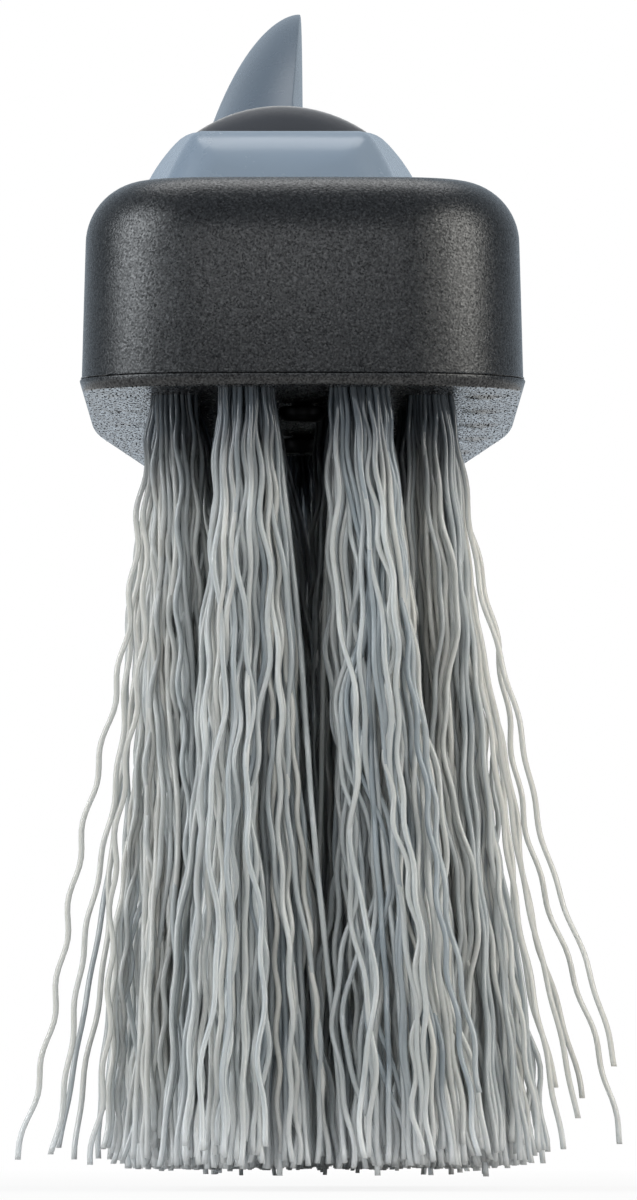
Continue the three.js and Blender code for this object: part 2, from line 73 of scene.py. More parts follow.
# Tufts
INNER_COLUMN = BLOCK_WIDTH / 8
OUTER_COLUMN = 2.3 * INNER_COLUMN
COLUMNS = (-OUTER_COLUMN, -INNER_COLUMN, INNER_COLUMN, OUTER_COLUMN)
ROW_PITCH = 9.4
FIRST_ROW = TOE_RADIUS
INNER_ROWS = 15
OUTER_ROWS = 14
OUTER_SETBACK = 1.5 * ROW_PITCH
HOLE_RADIUS = 2.85
BRISTLE_LENGTH = 75.0
END_TUFT_Y = FIRST_ROW + (INNER_ROWS - 0.1) * ROW_PITCH
INNER_BUNDLE = 2.5
OUTER_BUNDLE = 2.05
INNER_SPREAD = 0.12
OUTER_SPREAD = 0.21
ROW_SPREAD = 0.06
TIP_DRIFT = 2.45
AISLE_OPENING = 2.4  # how much the first tufts beside the aisle keep apart at their tips
FILAMENT_RADIUS = 0.28
LOCK_SIZE = 4  # filaments that run together as a lock
LOCK_PARTING = 1.4  # how far the locks part at their tips
FILAMENT_PARTING = 0.22  # how far the filaments of one lock part
LOOSE_SHARE = 0.09  # filaments that leave their lock
LOOSE_PARTING = 2.0
OPEN_ROWS = 4  # rows beside the aisle that keep apart
CROSSING_SHARE = 0.2  # filaments of these rows that cross the aisle
NEAR_ROWS = 2  # rows at the toe, which are made finest
# Filaments in a tuft, points along each filament and sides around it
NEAR_DETAIL = (70, 88, 6)
OUTER_DETAIL = (50, 64, 4)
INNER_DETAIL = (46, 48, 3)
GOLDEN_ANGLE = 2.39996  # the turn from point to point that fills a disc evenly
CRIMP_LENGTH = 8.2
CRIMP_HEIGHT = 0.24
ROOT_DEPTH = 3.0
TUFT_JITTER = 0.6  # the tufts behind the first three rows are a little out of line
# Filaments that stand away on each side: where the tip is, from the middle, and how far down
STRAYS = {
    -1: ((-27.7, 74), (-24.5, 73.5), (-22.2, 74), (-20.6, 74.5), (-19.6, 73), (-18.8, 74)),
    1: ((30.3, 65), (30.9, 72.5), (27.2, 68), (26.6, 70), (24.4, 67), (23.2, 72), (25.2, 73)),
}
STRAY_ROWS = 3
FIELD_MIDDLE = FIRST_ROW + (INNER_ROWS - 1) * ROW_PITCH / 2

# Handle
AXIS_X = -2.4
AXIS_Z = 29.4
GRIP_RADIUS = 17.4
NECK_START = TAIL_Y + GAP
NECK_LENGTH = 84.7
NECK_END = NECK_START + NECK_LENGTH
NECK_MIDDLE = 16.0
NECK_HALF = 15.5
NECK_ABOVE = 28.3
NECK_BELOW = 14.4
NECK_SQUARENESS = 2.6
NECK_SIDES = 128
FLAT_FRONT = 37.7
FLAT_SLOPE = math.tan(math.radians(3.9))
NOSE_RADIUS = 4.6
NOSE_LEAN = math.tan(math.radians(20))
TUBE_RADIUS = 9.5
GRIP_LENGTH = 130.0
GRIP_MARGIN = 12.0
GRIP_FRONT_RADIUS = 4.5
GRIP_GROOVES = 9
GROOVE_DEPTH = 0.9
GROOVE_HALF = 2.0

# Scraper
HEAD_START = NECK_END + GRIP_LENGTH + 2 * GAP
HEAD_LENGTH = 56.0
HEAD_LIP_TALL = 42.2
HEAD_LIP_LEFT = 15.3
HEAD_LIP_RIGHT = 0.6
HEAD_SHIFT = 1.9
HEAD_FLATNESS = 0.4
HEAD_POINT = 1.15
HEAD_FLAT_START = 0.27
HEAD_FLAT_RUN = 0.22
HEAD_SIDES = 160
BLADE_INSET = 34.0
BLADE_REACH = 60.0
BLADE_ROOT_HALF = 26.0
BLADE_EDGE_HALF = 41.5
BLADE_THICKNESS = 3.0
BLADE_EDGE = 0.8
BLADE_BEVEL = 9.0
BLADE_CORNER = 3.0
BLADE_OFFSET = -0.8
BLADE_LEAN = 0.01
BLADE_RIBS = 9
BLADE_RIB_PITCH = 9.0
BLADE_RIB_LENGTH = 17.0
BLADE_RIB_HEIGHT = 1.2
BLADE_RIB_HALF = 1.4

# Fasteners
SCREW_HEAD = 2.3
SCREW_SHANK = 1.1
SCREW_LENGTH = 9.0
SCREW_HEAD_HEIGHT = 1.5
DRIVE_REACH = 1.4
DRIVE_HALF = 0.3
DRIVE_DEPTH = 0.9
PLATE_SCREWS = (0.185 * TAIL_Y, 0.525 * TAIL_Y, 0.87 * TAIL_Y)
NECK_SCREWS = (NECK_START + 10, NECK_START + 22)
NECK_SCREW_DEPTH = 2.2
PIN_RADIUS = 2.0
PIN_RECESS = 1.4
NECK_PIN_Y = NECK_END - 16
HEAD_PIN_Y = HEAD_START + 10
RIVET_RADIUS = 2.0
RIVET_HEAD = 3.8
RIVET_HEAD_HEIGHT = 1.3
RIVET_LEFT_SEAT = -5.0
RIVET_Z = (-23.0, 0.0, 23.0)
RIVET_Y = HEAD_START + HEAD_LENGTH - 9

# Camera, worked out from the perspective of the photograph
PHOTO_WIDTH = 637
PHOTO_HEIGHT = 1200
PIXELS_PER_MM = 10.48
CAMERA_DISTANCE = 1370.0
CAMERA_HEIGHT = 3.0
HORIZON = (302.5, 1139.0)

# Studio and materials, lengths in metres
FLOOR_SIZE = 40.0
FLOOR_DROP = 0.002
MIRRORED_TINT = (0.76, 0.88, 1.0)  # the cool white that glossy faces mirror
COOL_LIGHT = (0.93, 0.97, 1.0)
WARM_LIGHT = (1.0, 0.98, 0.92)
WHITE_LIGHT = (1.0, 1.0, 1.0)
GRAIN_HEIGHT = 0.00004

ORIGIN = np.array([0.0, FIELD_MIDDLE, BLOCK_HEIGHT])


# Shared helpers


def to_row(points):
    return (np.asarray(points, float) - ORIGIN) * 0.001


def smooth(t):
    held = np.clip(t, 0.0, 1.0)
    return held * held * (3 - 2 * held)


def smooth_min(a, b, width):
    share = np.clip(0.5 + 0.5 * (b - a) / width, 0, 1)
    return b * (1 - share) + a * share - width * share * (1 - share)


def signed_power(value, power):
    return np.sign(value) * np.abs(value) ** power


def loft(rings, start_middle=None):
    """Points and faces of a skin over closed rings. The start is flat, or a fan about a middle."""
    rings = np.asarray(rings, float)
    count, sides = rings.shape[:2]
    points = rings.reshape(-1, 3).tolist()
    faces = []
    for r in range(count - 1):
        a, b = r * sides, (r + 1) * sides
        for i in range(sides):
            j = (i + 1) % sides
            faces.append((a + i, a + j, b + j, b + i))
    if start_middle is None:
        faces.append(tuple(range(sides)))
    else:
        points.append(list(start_middle))
        faces.extend((count * sides, i, (i + 1) % sides) for i in range(sides))
    faces.append(tuple(range((count - 1) * sides, count * sides)))
    return points, faces


def open_start(rings):
    """A loft without its first end."""
    points, faces = loft(rings)
    faces.pop(-2)
    return points, faces


def endless(rings):
    """A loft that runs round into its first ring again."""
    points, faces = loft(rings + rings[:1])
    return points, faces[:-2]


def flat_sheet(loops):
    """Points and faces of a sheet that fills the first closed loop. The others are holes."""
    work = bmesh.new()
    edges = []
    for loop in loops:
        verts = [work.verts.new(p) for p in loop]
        for a, b in zip(verts, verts[1:] + verts[:1]):
            edges.append(work.edges.new((a, b)))
    bmesh.ops.triangle_fill(work, edges=edges, use_beauty=True)
    work.verts.index_update()
    points = [tuple(v.co) for v in work.verts]
    faces = [tuple(v.index for v in face.verts) for face in work.faces]
    work.free()
    return points, faces


def lathe(profile, sides=48):
    """Rings of a profile of (radius, height) pairs turned about the Y axis."""
    angle = np.linspace(0, 2 * np.pi, sides, endpoint=False)
    circle = np.stack([np.cos(angle), 0 * angle, np.sin(angle)], 1)
    return [max(radius, 0.01) * circle + (0, height, 0) for radius, height in profile]


def rounded(profile, radius, steps):
    """An open profile with each inner corner replaced by a small arc."""
    points = [np.array(p, float) for p in profile]
    out = [points[0]]
    for before, corner, after in zip(points, points[1:], points[2:]):
        into, out_of = before - corner, after - corner
        reach = min(radius, np.linalg.norm(into) / 2, np.linalg.norm(out_of) / 2)
        start = corner + into / np.linalg.norm(into) * reach
        end = corner + out_of / np.linalg.norm(out_of) * reach
        for t in np.linspace(0, 1, steps):
            out.append((1 - t) ** 2 * start + 2 * t * (1 - t) * corner + t * t * end)
    out.append(points[-1])
    return out


def mesh_object(name, points, faces, sharp=40):
    mesh = bpy.data.meshes.new(name)
    mesh.from_pydata(to_row(points).tolist(), [], faces)
    work = bmesh.new()
    work.from_mesh(mesh)
    bmesh.ops.recalc_face_normals(work, faces=work.faces)
    work.to_mesh(mesh)
    work.free()
    mesh.shade_smooth()
    mesh.set_sharp_from_angle(angle=math.radians(sharp))
    obj = bpy.data.objects.new(name, mesh)
    bpy.context.scene.collection.objects.link(obj)
    return obj


def joined(*parts):
    """Several (points, faces) pairs as one."""
    points, faces = [], []
    for more_points, more_faces in parts:
        shift = len(points)
        points.extend(more_points)
        faces.extend(tuple(i + shift for i in face) for face in more_faces)
    return points, faces


def dress(obj, material, slot, *nodes):
    """Gives a piece its material and puts it in the place of CAD nodes."""
    obj.data.materials.clear()
    obj.data.materials.append(material)
    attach(obj, "root")
    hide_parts(*nodes)
    return obj


def cut(obj, *cutters):
    for cutter in cutters:
        change = obj.modifiers.new("cut", "BOOLEAN")
        change.operation = "DIFFERENCE"
        change.solver = "EXACT"
        change.object = cutter
        with bpy.context.temp_override(object=obj, active_object=obj):
            bpy.ops.object.modifier_apply(modifier=change.name)
        bpy.data.objects.remove(cutter)
    obj.data.shade_smooth()
    obj.data.set_sharp_from_angle(angle=math.radians(35))


def rod(radius, start, end):
    """A plain cylinder between two points, used to cut holes and seats."""
    start, end = np.array(start, float), np.array(end, float)
    length = np.linalg.norm(end - start)
    turn = Vector((0, 1, 0)).rotation_difference(Vector(end - start))
    points, faces = loft(lathe([(radius, 0), (radius, length)], 40))
    placed = [np.array(turn @ Vector(p)) + start for p in points]
    return mesh_object("cutter", placed, faces)


# Materials


def new_material(name):
    material = bpy.data.materials.new(name)
    material.use_nodes = True
    nodes = material.node_tree.nodes
    return material, nodes, material.node_tree.links, nodes["Principled BSDF"]


def add_place(nodes, links, stretch=(1, 1, 1)):
    place = nodes.new("ShaderNodeTexCoord")
    scaled = nodes.new("ShaderNodeMapping")
    scaled.inputs["Scale"].default_value = stretch
    links.new(place.outputs["Object"], scaled.inputs["Vector"])
    return scaled.outputs["Vector"]


def add_noise(nodes, links, place, scale, detail=2.0, roughness=0.5):
    noise = nodes.new("ShaderNodeTexNoise")
    noise.inputs["Scale"].default_value = scale
    noise.inputs["Detail"].default_value = detail
    noise.inputs["Roughness"].default_value = roughness
    links.new(place, noise.inputs["Vector"])
    return noise.outputs["Fac"]


def feed(links, socket, value):
    """Sets an input to a number or a colour, or links it to the output of another node."""
    if isinstance(value, bpy.types.NodeSocket):
        links.new(value, socket)
    elif isinstance(value, tuple):
        socket.default_value = (*value, 1)
    else:
        socket.default_value = value


def add_range(nodes, links, source, low, high, start=0.0, end=1.0):
    spread = nodes.new("ShaderNodeMapRange")
    feed(links, spread.inputs["Value"], source)
    feed(links, spread.inputs["From Min"], start)
    feed(links, spread.inputs["From Max"], end)
    feed(links, spread.inputs["To Min"], low)
    feed(links, spread.inputs["To Max"], high)
    return spread.outputs["Result"]


def add_mix(nodes, links, factor, first, second, kind="RGBA"):
    mix = nodes.new("ShaderNodeMix")
    mix.data_type = kind
    feed(links, mix.inputs["Factor"], factor)
    feed(links, mix.inputs["A"], first)
    feed(links, mix.inputs["B"], second)
    return mix.outputs["Result"]


def add_math(nodes, links, operation, first, second):
    math_node = nodes.new("ShaderNodeMath")
    math_node.operation = operation
    feed(links, math_node.inputs[0], first)
    feed(links, math_node.inputs[1], second)
    return math_node.outputs["Value"]


def add_bump(nodes, links, height, strength, distance, under=None):
    bump = nodes.new("ShaderNodeBump")
    bump.inputs["Strength"].default_value = strength
    bump.inputs["Distance"].default_value = distance
    links.new(height, bump.inputs["Height"])
    if under is not None:
        links.new(under, bump.inputs["Normal"])
    return bump.outputs["Normal"]


def moulded_black(name, grain_scale, roughness, shine, stretch=(1, 1, 1)):
    """Black polypropylene from a spark-eroded mould: a fine grain, whose high spots shine and are
    painted lighter, with painted micro-shadow between them.

    The shine goes from its first value to its second as the grain goes from the third to the fourth.
    """
    material, nodes, links, shader = new_material(name)
    place = add_place(nodes, links, stretch)
    grain = add_noise(nodes, links, place, grain_scale, 2, 0.6)
    coarse = add_noise(nodes, links, place, 2800, 1, 0.5)
    # Painted light in the grain: its high spots are coloured lighter, as painted sparkle, and the
    # rest darker, as painted micro-shadow.
    painted_grain_light = add_range(nodes, links, grain, 0.0, 1.0, 0.55, 0.8)
    tone = add_mix(nodes, links, painted_grain_light, (0.007, 0.0072, 0.008), (0.024, 0.0245, 0.026))
    links.new(tone, shader.inputs["Base Color"])
    rough = add_range(nodes, links, coarse, roughness - 0.06, roughness + 0.06, 0.3, 0.7)
    links.new(rough, shader.inputs["Roughness"])
    gloss = add_range(nodes, links, grain, *shine)
    links.new(gloss, shader.inputs["Specular IOR Level"])
    low = add_bump(nodes, links, coarse, 0.4, GRAIN_HEIGHT)
    normal = add_bump(nodes, links, grain, 1.0, GRAIN_HEIGHT, low)
    links.new(normal, shader.inputs["Normal"])
    return material


def gloss_grey(name, dark, light):
    """Blue-grey glossy plastic with a slight orange peel and fine handling marks."""
    material, nodes, links, shader = new_material(name)
    place = add_place(nodes, links)
    cloud = add_noise(nodes, links, place, 40, 3)
    peel = add_noise(nodes, links, place, 110, 0)
    marks = add_noise(nodes, links, place, 130, 6, 0.7)
    tone = add_mix(nodes, links, cloud, dark, light)
    links.new(tone, shader.inputs["Base Color"])
    rough = add_range(nodes, links, marks, 0.24, 0.29, 0.35, 0.7)
    links.new(rough, shader.inputs["Roughness"])
    normal = add_bump(nodes, links, peel, 0.05, 0.0001)
    links.new(normal, shader.inputs["Normal"])
    return material


def soft_rubber():
    """Dark soft grip with a fine matt skin."""
    material, nodes, links, shader = new_material("soft_rubber")
    place = add_place(nodes, links)
    skin = add_noise(nodes, links, place, 1400, 3, 0.6)
    cloud = add_noise(nodes, links, place, 60, 3)
    tone = add_mix(nodes, links, cloud, (0.026, 0.029, 0.036), (0.042, 0.046, 0.056))
    links.new(tone, shader.inputs["Base Color"])
    rough = add_range(nodes, links, skin, 0.5, 0.65)
    links.new(rough, shader.inputs["Roughness"])
    shader.inputs["Sheen Weight"].default_value = 1.0
    shader.inputs["Sheen Roughness"].default_value = 0.3
    normal = add_bump(nodes, links, skin, 0.4, 0.0001)
    links.new(normal, shader.inputs["Normal"])
    return material


def crimped_filament():
    """Grey see-through nylon. Each filament has its own tone, painted shade near its root where the
    block shades it, and a pale end, partly its frosted cut and partly painted light.
    """
    material, nodes, links, shader = new_material("crimped_filament")
    place = add_place(nodes, links)
    tone = nodes.new("ShaderNodeAttribute")
    tone.attribute_name = "tone"
    colour = nodes.new("ShaderNodeValToRGB")
    ramp = colour.color_ramp
    ramp.elements[0].position = 0.0
    ramp.elements[0].color = (0.39, 0.45, 0.49, 1)
    ramp.elements[1].position = 1.0
    ramp.elements[1].color = (0.92, 0.9, 0.84, 1)
    middle = ramp.elements.new(0.5)
    middle.color = (0.66, 0.69, 0.69, 1)
    along = add_noise(nodes, links, place, 260, 2)
    shade = add_range(nodes, links, along, -0.18, 0.18)
    links.new(add_math(nodes, links, "ADD", tone.outputs["Fac"], shade), colour.inputs["Fac"])
    split = nodes.new("ShaderNodeSeparateXYZ")
    links.new(place, split.inputs["Vector"])
    height = split.outputs["Z"]
    root = -BLOCK_HEIGHT * 0.001
    # Painted shade: each filament is darkened near its root, where the block above shades it, over a
    # depth that differs with its tone.
    root_shade_depth = add_range(nodes, links, tone.outputs["Fac"], root - 0.009, root - 0.015)
    root_shade_fade = add_range(nodes, links, height, 0.0, 1.0, root - 0.0015, root_shade_depth)
    root_shade_fade.node.interpolation_type = "SMOOTHSTEP"
    painted_root_shade = add_mix(nodes, links, root_shade_fade, (0.1, 0.12, 0.14), colour.outputs["Color"])
    # Painted light: the last 9 mm of each filament are paled, partly for its frosted cut end and
    # partly for light from below that the tips lack.
    tip = root - BRISTLE_LENGTH * 0.001
    frost_and_tip_light = add_range(nodes, links, height, 1.0, 0.0, tip, tip + 0.009)
    frosted_and_lit_tip = add_mix(nodes, links, frost_and_tip_light, painted_root_shade, (0.97, 0.98, 0.98))
    links.new(frosted_and_lit_tip, shader.inputs["Base Color"])
    rough = add_range(nodes, links, along, 0.06, 0.16)
    links.new(rough, shader.inputs["Roughness"])
    shader.inputs["Specular IOR Level"].default_value = 1.0
    shader.inputs["Transmission Weight"].default_value = 0.38
    return material


def bright_metal(name, colour, roughness, stretch):
    """Plated or anodised metal with faint drawn lines."""
    material, nodes, links, shader = new_material(name)
    noise = add_noise(nodes, links, add_place(nodes, links, stretch), 900)
    dull = tuple(0.82 * c for c in colour)
    tone = add_mix(nodes, links, noise, dull, colour)
    links.new(tone, shader.inputs["Base Color"])
    rough = add_range(nodes, links, noise, roughness - 0.08, roughness + 0.1)
    links.new(rough, shader.inputs["Roughness"])
    shader.inputs["Metallic"].default_value = 1.0
    normal = add_bump(nodes, links, noise, 0.1, 0.00005)
    links.new(normal, shader.inputs["Normal"])
    return material


# Brush block


def block_half_width(y):
    slope = (BLOCK_WIDTH - TAIL_WIDTH) / 2 / (TAIL_Y - BLOCK_STRAIGHT)
    past = y - BLOCK_STRAIGHT
    if past <= -TAPER_BLEND:
        return BLOCK_WIDTH / 2
    if past >= TAPER_BLEND:
        return BLOCK_WIDTH / 2 - slope * past
    return BLOCK_WIDTH / 2 - slope * (past + TAPER_BLEND) ** 2 / (4 * TAPER_BLEND)


def block_ring(z, inset, toe_inset=None, tail_inset=None):
    """Outline of the block seen from above, drawn in, at the given height."""
    toe_inset = inset if toe_inset is None else toe_inset
    tail_inset = inset if tail_inset is None else tail_inset
    front = max(TOE_CORNER - inset, 0.5)
    rear = max(TAIL_RADIUS - inset, 0.5)
    half = BLOCK_WIDTH / 2 - inset
    right = []
    meet = math.asin((half - front) / (TOE_CROWN - front))
    for angle in np.linspace(0.1, 0.9, 7) * meet:
        right.append((TOE_CROWN * np.sin(angle), toe_inset + TOE_CROWN * (1 - np.cos(angle))))
    middle = toe_inset + TOE_CROWN * (1 - np.cos(meet)) + front * np.cos(meet)
    for angle in np.linspace(meet, np.pi / 2, 19):
        right.append((half - front + front * np.sin(angle), middle - front * np.cos(angle)))
    straight = np.linspace(TOE_CORNER + 5, BLOCK_STRAIGHT - TAPER_BLEND - 2, 8)
    bend = BLOCK_STRAIGHT + np.linspace(-TAPER_BLEND, TAPER_BLEND, 11)
    taper = np.linspace(BLOCK_STRAIGHT + TAPER_BLEND + 10, TAIL_Y - 12, 6)
    for y in np.r_[straight, bend, taper]:
        right.append((block_half_width(y) - inset, y))
    end = TAIL_Y - tail_inset
    corner = block_half_width(end - rear) - inset - rear
    for angle in np.linspace(0, np.pi / 2, 7):
        right.append((corner + rear * np.cos(angle), end - rear + rear * np.sin(angle)))
    left = [(-x, y) for x, y in reversed(right)]
    return [(x, y, z) for x, y in right + left]


def flash_bead(z):
    """A thin uneven bead of moulding flash along the lower edge of the cover."""
    rng = np.random.default_rng(4)
    ring = block_ring(z, LIP_STEP)
    corners = np.array(ring + ring[:1])
    steps = np.r_[0, np.cumsum(np.linalg.norm(np.diff(corners, axis=0), axis=1))]
    run = np.linspace(0, steps[-1], 1400, endpoint=False)
    middle = np.stack([np.interp(run, steps, corners[:, k]) for k in range(3)], 1)
    ahead = np.roll(middle, -1, 0) - np.roll(middle, 1, 0)
    out = np.stack([ahead[:, 1], -ahead[:, 0], 0 * run], 1)
    out /= np.linalg.norm(out, axis=1)[:, None]
    size = FLASH_SIZE * rng.gamma(2.0, 0.5, len(run))
    size = np.clip((size + np.roll(size, 1) + np.roll(size, -1)) / 3, 0.015, 0.2)
    rings = []
    up = np.array((0, 0, 1))
    for angle in np.linspace(0, 2 * np.pi, 6, endpoint=False):
        rings.append(middle + size[:, None] * (np.cos(angle) * out + np.sin(angle) * up))
    return endless(rings)


def toe_lean(z):
    """How far the front has leaned back at a height: a curve at first, then a straight line."""
    t = (z - PLATE_THICKNESS) / (BLOCK_HEIGHT - BACK_RADIUS - PLATE_THICKNESS)
    return TOE_LEAN * (t * t if t < 1 else 2 * t - 1)


def block_cover(material):
    bottom = PLATE_THICKNESS + 0.02
    shoulder = LIP_STEP + SIDE_DRAFT
    rings = [block_ring(bottom, LIP_STEP + 0.1), block_ring(bottom + 0.1, LIP_STEP)]
    for t in np.linspace(0.1, 0.9, 6):
        z = bottom + (BLOCK_HEIGHT - BACK_RADIUS - bottom) * t
        inset = LIP_STEP + SIDE_DRAFT * t
        rings.append(block_ring(z, inset, inset + toe_lean(z), inset))
    for angle in np.linspace(0, np.pi / 2, 17):
        inset = BACK_RADIUS * (1 - np.cos(angle))
        z = BLOCK_HEIGHT - BACK_RADIUS + BACK_RADIUS * np.sin(angle)
        toe = shoulder + TOE_ROUNDING * inset + toe_lean(z)
        rings.append(block_ring(z, shoulder + inset, toe, shoulder + TAIL_ROUNDING * inset))
    inset = BACK_RADIUS + 0.8
    rings.append(block_ring(BLOCK_HEIGHT, shoulder + inset, shoulder + inset, shoulder + inset))
    skin = mesh_object("block_cover_skin", *joined(loft(rings), flash_bead(bottom + 0.08)))
    return dress(skin, material, "black_plastic", "block_cover")


def margin_rib(y, side):
    """A low rounded ridge across one margin, running out at its ends."""
    inner = abs(COLUMNS[0]) + HOLE_RADIUS + 0.6
    outer = block_half_width(y) - 0.65
    across = np.linspace(0, 1, 25)
    rings = []
    for t in across:
        x = side * (inner + (outer - inner) * t)
        run_out = smooth((t + 0.1) / 0.5) * smooth((1 - t) / 0.6)
        height = RIB_HEIGHT[side] * run_out * np.sin(np.pi * across) ** 1.3
        top = np.stack([np.full(len(across), x), y + RIB_WIDTH * (across - 0.5), -height], 1)
        foot = [(x, y + RIB_WIDTH / 2, 0.5), (x, y - RIB_WIDTH / 2, 0.5)]
        rings.append(np.vstack([top, foot]))
    return loft(rings)


def tuft_hole(tuft):
    """Rings of one tuft hole, from its rounded mouth upwards."""
    radius = (OUTER_BUNDLE if tuft["outer"] else INNER_BUNDLE) + FILAMENT_RADIUS
    angle = np.linspace(0, 2 * np.pi, 28, endpoint=False)
    circle = np.stack([np.cos(angle), np.sin(angle), 0 * angle], 1)
    mouth = ((0.12, 0), (0.03, 0.06), (0, 0.2), (0, PLATE_THICKNESS))
    return [(radius + wider) * circle + (tuft["x"], tuft["y"], z) for wider, z in mouth]


def base_plate(underside, edge, tufts):
    """Thin plate with a rounded lip, tuft holes and ribbed margins."""
    profile = ((0, 0.6), (0.1, 0.34), (0.32, 0.2), (1.02, 0), (1.14, 0.05), (PLATE_THICKNESS, 0.3))
    lip = [block_ring(z, inset) for z, inset in profile]
    holes = [tuft_hole(tuft) for tuft in tufts]
    sheet = flat_sheet([lip[0]] + [rings[0] for rings in holes])
    hole_walls = [open_start(rings) for rings in holes]
    rib_places = [RIB_FIRST + RIB_PITCH * i for i in range(RIB_COUNT)]
    ribs = [margin_rib(y, side) for y in rib_places for side in (-1, 1)]
    parts = joined(open_start(lip), sheet, *hole_walls, *ribs)
    skin = mesh_object("base_plate_skin", *parts)
    dress(skin, underside, "black_plastic", "base_plate")
    skin.data.materials.append(edge)
    lip_start = float(to_row((0, 0, 0.05))[2])
    for face in skin.data.polygons:
        face.material_index = int(face.center.z > lip_start)
    return skin


# Bristles


def all_tufts():
    rng = np.random.default_rng(7)
    tufts = []
    for column, x in enumerate(COLUMNS):
        outer = abs(x) == OUTER_COLUMN
        start = FIRST_ROW + (OUTER_SETBACK if outer else 0)
        for row in range(OUTER_ROWS if outer else INNER_ROWS):
            tuft = {"node": f"bristle_row_{column + 1}", "row": row, "outer": outer, "x": x}
            tuft["x"] += float(rng.normal(0, TUFT_JITTER)) if row > 2 else 0.0
            tuft["y"] = start + row * ROW_PITCH
            has_strays = outer and row < STRAY_ROWS
            tuft["strays"] = STRAYS[int(np.sign(x))][row::STRAY_ROWS] if has_strays else ()
            tufts.append(tuft)
    end = {"node": "bristle_row_3", "row": INNER_ROWS, "outer": False, "strays": ()}
    return tufts + [{**end, "x": 0.0, "y": END_TUFT_Y}]


def packed_circle(count, radius, rng):
    """Points spread evenly over a disc."""
    number = np.arange(count)
    angle = GOLDEN_ANGLE * number + rng.uniform(0, 2 * np.pi)
    reach = radius * np.sqrt((number + 0.5) / count)
    return np.stack([reach * np.cos(angle), reach * np.sin(angle)], 1)


def tip_run(tuft, place, lock, rng):
    """Sideways run of each filament from root to tip. Some on the outside stand away."""
    count = len(place)
    spread = OUTER_SPREAD if tuft["outer"] else INNER_SPREAD
    field_run = (tuft["x"] * spread + TIP_DRIFT, (tuft["y"] - FIELD_MIDDLE) * ROW_SPREAD)
    run = rng.normal(0, 0.6, 2) + field_run
    run = run + rng.normal(0, LOCK_PARTING, (lock.max() + 1, 2))[lock]
    run += rng.normal(0, FILAMENT_PARTING, (count, 2))
    loose = rng.random((count, 1)) < LOOSE_SHARE
    run += loose * rng.normal(0, LOOSE_PARTING, (count, 2)) + 0.3 * place
    side = np.sign(tuft["x"])
    if not tuft["outer"] and tuft["row"] < OPEN_ROWS:
        crossing = rng.random(count) < CROSSING_SHARE
        run += 0.35 * place
        run[:, 0] += side * (AISLE_OPENING - crossing * rng.uniform(2, 6, count))
    if tuft["outer"]:
        stray = (side * place[:, 0] > 0.9) & (rng.random(count) < 0.06)
        run[:, 0] += stray * side * np.minimum(1.5 + rng.exponential(2.2, count), 8)
    return run


def early_lean(tuft, lock, rng):
    """Lean of the locks near the root. Behind the first rows they close the aisle."""
    lean = rng.normal(0, 0.5 if tuft["row"] < NEAR_ROWS else 1.2, (lock.max() + 1, 2))
    lean[:, 0] += 0.3
    inward = 0.0 if tuft["row"] < OPEN_ROWS else 1.4 if tuft["outer"] else 1.8
    lean[:, 0] -= np.sign(tuft["x"]) * rng.uniform(0, inward, len(lean))
    return lean[lock]


def slow_sway(lock, locks, down, rng):
    """Long sideways waves, alike within a lock, that grow from the root."""
    turns = rng.uniform(1.2, 3.0, locks)[lock][:, None] * down[None, :]
    turns = turns + rng.random(locks)[lock][:, None]
    sway = rng.normal(0, 0.48, (locks, 2))[lock] + rng.normal(0, 0.2, (len(lock), 2))
    return (np.sin(2 * np.pi * turns) * smooth(down / 0.3))[:, :, None] * sway[:, None, :]


def crimp(lock, locks, depth, down, rng):
    """The short waves of crimped filament, each in a plane of its own, nearly in step in a lock."""
    count = len(lock)
    turn = rng.uniform(0, 2 * np.pi, locks)[lock] + rng.normal(0, 0.2, count)
    stretch = rng.uniform(0.85, 1.2, locks)[lock] + rng.normal(0, 0.015, count)
    start = rng.random(locks)[lock] + rng.normal(0, 0.05, count)
    height = CRIMP_HEIGHT * rng.uniform(0.6, 1.3, count)
    wave = np.sin(2 * np.pi * (depth / (CRIMP_LENGTH * stretch)[:, None] + start[:, None]))
    wave *= height[:, None] * smooth((down + 0.01) / 0.07)[None, :]
    plane = np.stack([np.cos(turn), np.sin(turn)], 1)
    return wave[:, :, None] * plane[:, None, :]


